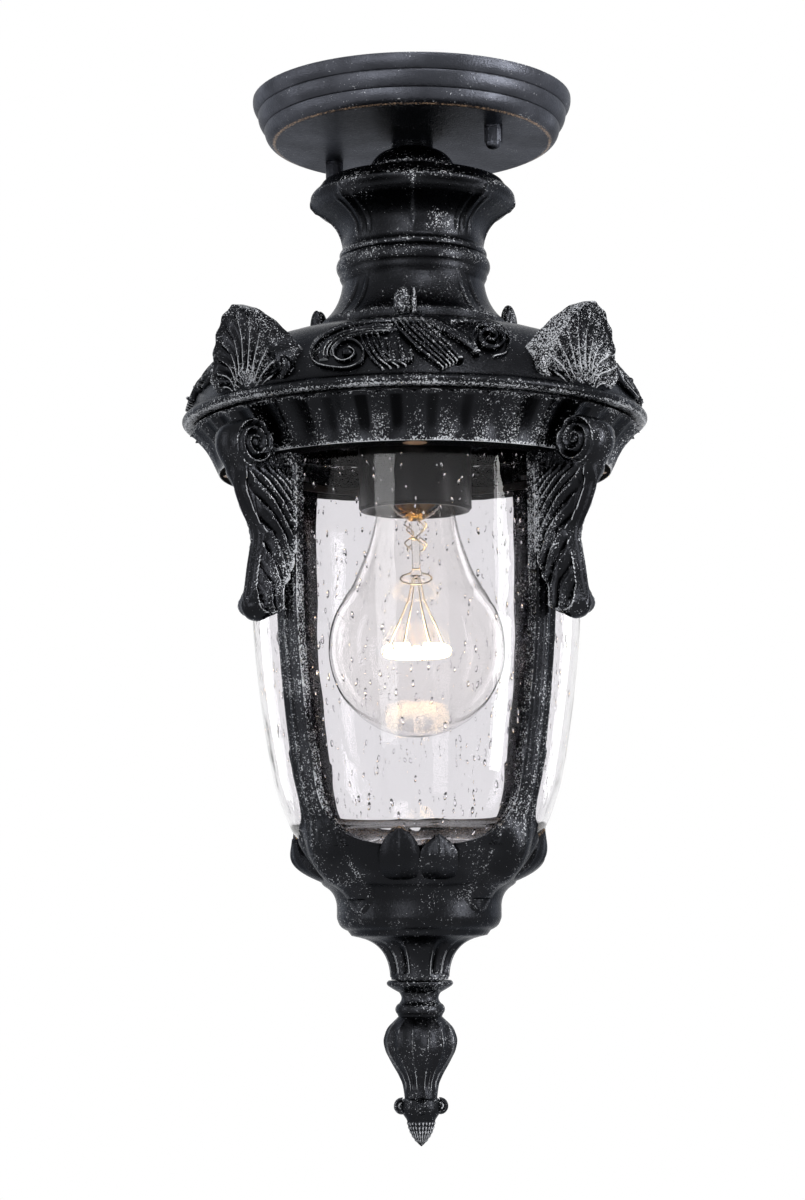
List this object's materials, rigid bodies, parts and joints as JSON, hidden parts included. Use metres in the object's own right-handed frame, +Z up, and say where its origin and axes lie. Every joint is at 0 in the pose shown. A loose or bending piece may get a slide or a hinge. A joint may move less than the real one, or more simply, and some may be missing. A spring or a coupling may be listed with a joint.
{
  "type": "ceiling lantern",
  "caption": "Semi-flush porch ceiling lantern: round canopy, waisted neck, domed roof with corner shells, caged seeded glass jar with scroll brackets, lamp and finial.",
  "frame": {"origin": "centre of the canopy's rim and of the mounting strap's top face, on the ceiling", "axes": "+Z up into the ceiling, -Y towards the picture's viewer, +X to the viewer's right"},
  "size_m": [0.1588, 0.1588, 0.357],
  "materials": {
    "cast_paint": "near-black paint on cast aluminium, dry-brushed silver on the raised parts, bronze worn edges",
    "canopy_paint": "near-black satin paint with silver speckle",
    "strap_steel": "zinc plated",
    "fastener_steel": "zinc plated",
    "ground_green": "green dyed screw",
    "copper": "bare copper",
    "orange_plastic": "moulded",
    "black_insulation": "satin insulation",
    "white_insulation": "satin insulation",
    "brass": "turned brass",
    "bronze_screw": "bronzed screw head",
    "socket_black": "black phenolic",
    "socket_shell_metal": "drawn copper alloy, thread rolled in",
    "jar_glass": "clear seeded glass, faint lavender tint",
    "gasket": "black rubber",
    "lamp_tip_metal": "solder",
    "lamp_insulator": "black vitreous insulator",
    "lamp_base_metal": "drawn brass screw base",
    "lamp_glass": "clear lamp glass",
    "lamp_wire": "drawn wire",
    "filament": "glowing"
  },
  "bodies": {
    "housing": {"mounting_strap": "strap_steel", "strap_studs": "fastener_steel", "stud_lock_nuts": "fastener_steel", "ground_screw": "ground_green", "ground_lead": "copper", "wire_nuts": "orange_plastic", "lead_black": "black_insulation", "lead_white": "white_insulation", "canopy": "canopy_paint", "nipple": "brass", "nipple_washer": "fastener_steel", "nipple_nut": "brass", "collar": "cast_paint", "neck": "cast_paint", "roof": "cast_paint", "shell_front_right": "cast_paint", "shell_back_right": "cast_paint", "shell_back_left": "cast_paint", "shell_front_left": "cast_paint", "relief_front": "cast_paint", "relief_right": "cast_paint", "relief_back": "cast_paint", "relief_left": "cast_paint", "socket_cap": "socket_black", "socket_body": "socket_black", "socket_screw_shell": "socket_shell_metal", "socket_contact": "brass", "terminal_screws": "brass"},
    "cage": {"skirt": "cast_paint", "ring_plate": "cast_paint", "cage_screws": "bronze_screw", "ring_screws": "fastener_steel", "cage_frame": "cast_paint", "bracket_front_right": "cast_paint", "bracket_back_right": "cast_paint", "bracket_back_left": "cast_paint", "bracket_front_left": "cast_paint", "bracket_screws": "fastener_steel", "glass_jar": "jar_glass", "glass_collar": "gasket", "glass_seat": "gasket", "finial_stud": "fastener_steel"},
    "finial_washer": {"finial_washer": "cast_paint"},
    "finial": {"finial": "cast_paint"},
    "lamp_tip": {"lamp_tip": "lamp_tip_metal"},
    "lamp": {"lamp_insulator": "lamp_insulator", "lamp_base": "lamp_base_metal", "lamp_globe": "lamp_glass", "lamp_stem": "lamp_glass", "lamp_supports": "lamp_wire", "lamp_filament": "filament"},
    "cap_nut_right": {"cap_washer_right": "canopy_paint", "cap_nut_right": "canopy_paint"},
    "cap_nut_left": {"cap_washer_left": "canopy_paint", "cap_nut_left": "canopy_paint"}
  },
  "joints": [
    {"name": "cage_drop", "type": "slide", "parent": "housing", "child": "cage", "axis": [0, 0, 1], "range_m": [-0.13, 0]},
    {"name": "finial_travel", "type": "slide", "parent": "cage", "child": "finial_washer", "axis": [0, 0, 1], "range_m": [-0.014, 0]},
    {"name": "finial_turn", "type": "hinge", "parent": "finial_washer", "child": "finial", "pos_m": [0, 0, -0.3023], "axis": [0, 0, 1], "range_deg": [-5040, 0]},
    {"name": "lamp_travel", "type": "slide", "parent": "housing", "child": "lamp_tip", "axis": [0, 0, 1], "range_m": [-0.0254, 0]},
    {"name": "lamp_turn", "type": "hinge", "parent": "lamp_tip", "child": "lamp", "pos_m": [0, 0, -0.1154], "axis": [0, 0, 1], "range_deg": [-2520, 0]},
    {"name": "nut_right_travel", "type": "slide", "parent": "housing", "child": "cap_nut_right", "axis": [0, 0, 1], "range_m": [-0.00477, 0]},
    {"name": "nut_left_travel", "type": "slide", "parent": "housing", "child": "cap_nut_left", "axis": [0, 0, 1], "range_m": [-0.00477, 0]}
  ],
  "couplings": [
    {"joint": "finial_travel", "follows": "finial_turn", "m_per_rad": 0.00015915},
    {"joint": "lamp_travel", "follows": "lamp_turn", "m_per_rad": 0.00057751}
  ]
}
